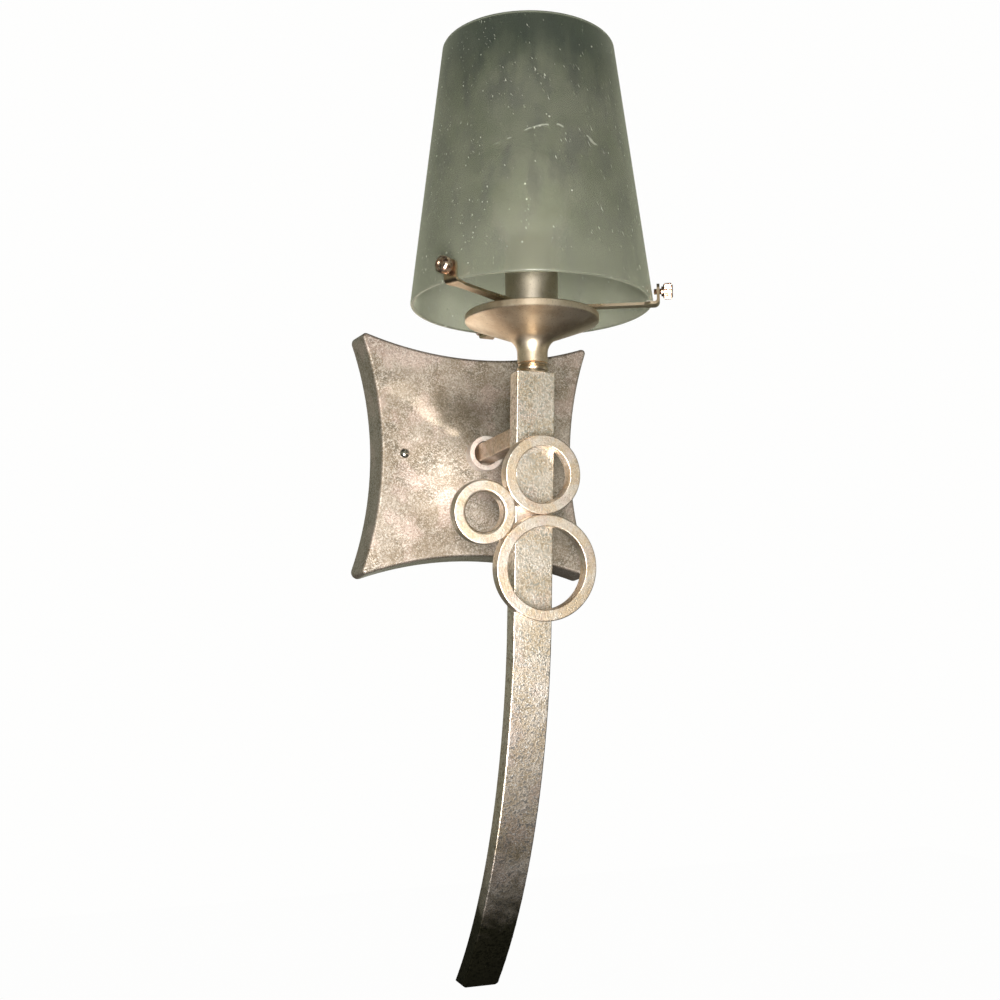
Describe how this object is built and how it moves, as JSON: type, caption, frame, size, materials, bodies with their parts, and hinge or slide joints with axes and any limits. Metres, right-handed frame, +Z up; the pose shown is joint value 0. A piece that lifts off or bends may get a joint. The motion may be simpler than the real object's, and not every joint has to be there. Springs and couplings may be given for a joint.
{
  "type": "wall sconce",
  "caption": "Wall sconce: bowed square back plate, short arm, curved tail bar with three welded rings, turned dish, three-arm fitter, frosted glass cone shade and lamp.",
  "frame": {"origin": "centre of the back plate's rim, on the wall", "axes": "+Z up, +X right seen from the room, +Y into the wall"},
  "size_m": [0.1706, 0.2112, 0.6102],
  "materials": {
    "plate_metal": "champagne leaf, satin",
    "ring_metal": "champagne leaf, satin",
    "bar_metal": "champagne leaf, satin",
    "turned_metal": "champagne, satin gloss",
    "bright_screws": "polished",
    "zinc_steel": "zinc plated",
    "earth_green": "gloss",
    "soft_pads": "matt",
    "frosted_glass": "frosted",
    "porcelain": "glazed",
    "brass_shell": "satin",
    "solder": "satin",
    "black_glass": "gloss",
    "nickel_cap": "satin",
    "white_glass": "opal"
  },
  "bodies": {
    "frame": {"back_plate": "plate_metal", "plate_screws": "bright_screws", "wall_strap": "zinc_steel", "earth_screw": "earth_green", "arm": "ring_metal", "arm_nipple": "zinc_steel", "arm_washer": "zinc_steel", "arm_nut": "zinc_steel", "boss_ring": "ring_metal", "tail_bar": "bar_metal", "bar_top_plug": "bar_metal", "ring_upper": "ring_metal", "ring_large": "ring_metal", "ring_small": "ring_metal", "neck_collar": "turned_metal", "dish": "turned_metal", "fitter_spacer": "turned_metal", "stem_nipple": "zinc_steel", "shade_fitter": "turned_metal", "rest_pads": "soft_pads", "socket_cup": "turned_metal", "stem_nut": "zinc_steel", "holder_body": "porcelain", "holder_shell": "brass_shell", "holder_contact": "brass_shell"},
    "shade": {"glass_shade": "frosted_glass"},
    "lamp": {"lamp_contact": "solder", "lamp_insulator": "black_glass", "lamp_cap": "nickel_cap", "lamp_globe": "white_glass"},
    "screw_1": {"thumb_screw_1": "turned_metal"},
    "screw_2": {"thumb_screw_2": "turned_metal"},
    "screw_3": {"thumb_screw_3": "turned_metal"}
  },
  "joints": [
    {"name": "shade_lift", "type": "slide", "parent": "frame", "child": "shade", "axis": [0, 0, 1], "range_m": [0, 0.11]},
    {"name": "lamp_out", "type": "slide", "parent": "frame", "child": "lamp", "axis": [0, 0, 1], "range_m": [0, 0.034]},
    {"name": "thumb_screw_1_out", "type": "slide", "parent": "frame", "child": "screw_1", "axis": [0.891, -0.454, 0], "range_m": [-0.0004, 0.004]},
    {"name": "thumb_screw_2_out", "type": "slide", "parent": "frame", "child": "screw_2", "axis": [-0.8387, -0.5446, 0], "range_m": [-0.0004, 0.004]},
    {"name": "thumb_screw_3_out", "type": "slide", "parent": "frame", "child": "screw_3", "axis": [-0.0523, 0.9986, 0], "range_m": [-0.0004, 0.004]}
  ]
}
